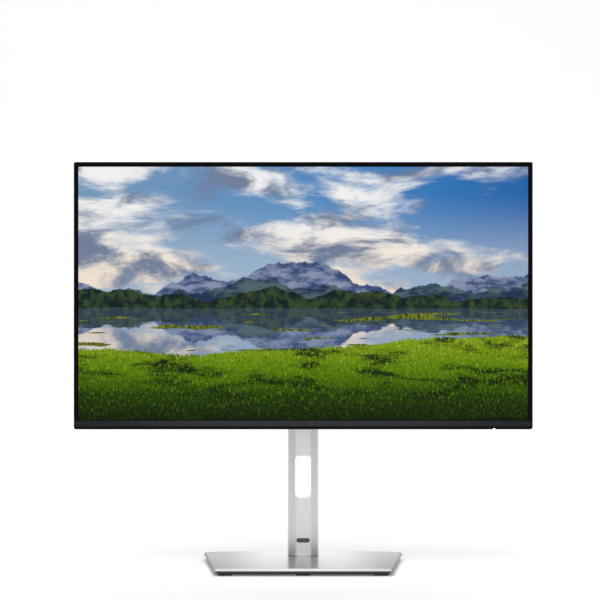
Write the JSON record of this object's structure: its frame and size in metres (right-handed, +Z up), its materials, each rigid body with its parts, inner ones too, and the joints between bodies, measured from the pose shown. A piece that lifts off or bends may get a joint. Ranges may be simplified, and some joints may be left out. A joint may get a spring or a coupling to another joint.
{
  "type": "computer monitor on adjustable stand",
  "caption": "Flat widescreen desktop monitor with slim dark bezel on a silver column stand that lifts, tilts, swivels and turns the panel upright.",
  "frame": {"origin": "on the desk, under the middle of the base", "axes": "X to the viewer's right when facing the screen, Y to the back of the monitor, Z up; rest pose is landscape, upright and facing forwards, raised so the panel can turn upright without touching the base"},
  "size_m": [0.5378, 0.18, 0.4798],
  "materials": {
    "silver_paint": "fine satin silver paint",
    "black_tray": "matt",
    "black_rubber": "matt",
    "white_nylon": "satin",
    "zinc_steel": "zinc plated",
    "silver_plastic": "satin silver",
    "dark_badge": "satin",
    "cast_alloy": "die-cast",
    "spring_steel": "blued",
    "frame_black": "fine grained",
    "chin_grey": "brushed look",
    "cover_black": "fine grained",
    "screen_glass": "anti-glare",
    "white_film": "satin",
    "clear_acrylic": "polished",
    "lamp_bar": "gloss",
    "board_green": "solder mask",
    "board_tan": "paper laminate",
    "part_dark": "moulded",
    "brass_post": "turned",
    "socket_metal": "tin plated",
    "socket_black": "matt",
    "ribbon_film": "polyimide",
    "lens_white": "clear"
  },
  "bodies": {
    "base": {"base_top_plate": "silver_paint", "base_tray": "black_tray", "foot_pads": "black_rubber", "swivel_bush": "white_nylon", "tray_screws": "zinc_steel"},
    "column": {"column_front_cover": "silver_plastic", "column_rear_cover": "silver_plastic", "column_top_cap": "silver_plastic", "column_badge": "dark_badge", "cable_slot_collar": "silver_plastic", "rail_channel": "zinc_steel", "column_foot_block": "cast_alloy", "swivel_hub": "zinc_steel", "foot_screws": "zinc_steel", "spring_strip": "spring_steel"},
    "screw_washer": {"thumbscrew_washer": "zinc_steel"},
    "screw": {"thumbscrew": "zinc_steel"},
    "bail": {"thumbscrew_bail": "zinc_steel"},
    "lift": {"carriage": "cast_alloy", "slider_pads": "white_nylon", "spool_axle": "zinc_steel"},
    "spool": {"spring_coil": "spring_steel"},
    "tilt_head": {"pivot_hub": "zinc_steel", "tilt_bracket": "zinc_steel", "tilt_shaft": "zinc_steel", "tilt_washers": "spring_steel", "tilt_nut": "zinc_steel", "head_cover": "silver_plastic"},
    "display": {"mount_plate": "zinc_steel", "pivot_ring": "zinc_steel", "rear_cover": "cover_black", "middle_frame": "frame_black", "power_led_lens": "lens_white", "chin_bar": "chin_grey", "lcd_glass": "screen_glass", "diffuser_sheet": "white_film", "prism_sheets": "white_film", "light_guide": "clear_acrylic", "led_strip": "lamp_bar", "reflector_sheet": "white_film", "backlight_chassis": "zinc_steel", "vesa_bracket": "zinc_steel", "power_board": "board_tan", "main_board": "board_green", "board_standoffs": "brass_post", "power_parts": "part_dark", "board_chips": "part_dark", "power_inlet": "socket_black", "video_ports": "socket_metal", "usb_ports": "socket_metal", "panel_cable": "ribbon_film", "key_board": "board_green"},
    "power_key": {"power_button": "cover_black"},
    "stick_press": {"stick_carrier": "white_nylon"},
    "stick_rock": {"stick_gimbal": "white_nylon"},
    "stick_lever": {"stick_cap": "cover_black"},
    "release": {"release_button": "cover_black"},
    "latch": {"stand_latch": "zinc_steel"}
  },
  "joints": [
    {"name": "swivel", "type": "hinge", "parent": "base", "child": "column", "pos_m": [0, 0.044, 0], "axis": [0, 0, 1], "range_deg": [-45, 45]},
    {"name": "height_slide", "type": "slide", "parent": "column", "child": "lift", "axis": [0, 0, 1], "range_m": [-0.134, 0.016], "deforming": ["spring_strip"]},
    {"name": "spring_unwind", "type": "hinge", "parent": "lift", "child": "spool", "pos_m": [0, 0.0465, 0.3075], "axis": [1, 0, 0], "range_deg": [-155, 1283]},
    {"name": "tilt", "type": "hinge", "parent": "lift", "child": "tilt_head", "pos_m": [0, 0.013, 0.326], "axis": [-1, 0, 0], "range_deg": [-5, 21]},
    {"name": "pivot", "type": "hinge", "parent": "tilt_head", "child": "display", "pos_m": [0, 0, 0.326], "axis": [0, 1, 0], "range_deg": [0, 90]},
    {"name": "thumbscrew_lift", "type": "slide", "parent": "column", "child": "screw_washer", "axis": [0, 0, 1], "range_m": [-0.00075, 0]},
    {"name": "thumbscrew_turn", "type": "hinge", "parent": "screw_washer", "child": "screw", "pos_m": [0, 0.044, 0.0015], "axis": [0, 0, 1], "range_deg": [-271, 0.5]},
    {"name": "bail_flip", "type": "hinge", "parent": "screw", "child": "bail", "pos_m": [0, 0.044, 0.00145], "axis": [1, 0, 0], "range_deg": [0, 90]},
    {"name": "power_press", "type": "slide", "parent": "display", "child": "power_key", "axis": [0, -1, 0], "range_m": [0, 0.0006], "stiffness_N_per_m": 2500, "springref_m": -0.0002},
    {"name": "stick_click", "type": "slide", "parent": "display", "child": "stick_press", "axis": [0, -1, 0], "range_m": [0, 0.0004], "stiffness_N_per_m": 4000, "springref_m": -0.0002},
    {"name": "stick_up_down", "type": "hinge", "parent": "stick_press", "child": "stick_rock", "pos_m": [0.238, -0.0343, 0.2285], "axis": [1, 0, 0], "range_deg": [-8, 8], "stiffness_Nm_per_rad": 0.05},
    {"name": "stick_left_right", "type": "hinge", "parent": "stick_rock", "child": "stick_lever", "pos_m": [0.238, -0.0343, 0.2285], "axis": [0, 0, 1], "range_deg": [-8, 8], "stiffness_Nm_per_rad": 0.05},
    {"name": "release_push", "type": "slide", "parent": "display", "child": "release", "axis": [0, 0, 1], "range_m": [0, 0.003], "stiffness_N_per_m": 900, "springref_m": -0.001},
    {"name": "latch_draw", "type": "slide", "parent": "display", "child": "latch", "axis": [0, -1, 0], "range_m": [0, 0.00262]}
  ],
  "couplings": [
    {"joint": "spring_unwind", "follows": "height_slide", "rad_per_m": -166.67},
    {"joint": "thumbscrew_turn", "follows": "thumbscrew_lift", "rad_per_m": 6283.2},
    {"joint": "latch_draw", "follows": "release_push", "ratio": 0.8667}
  ]
}
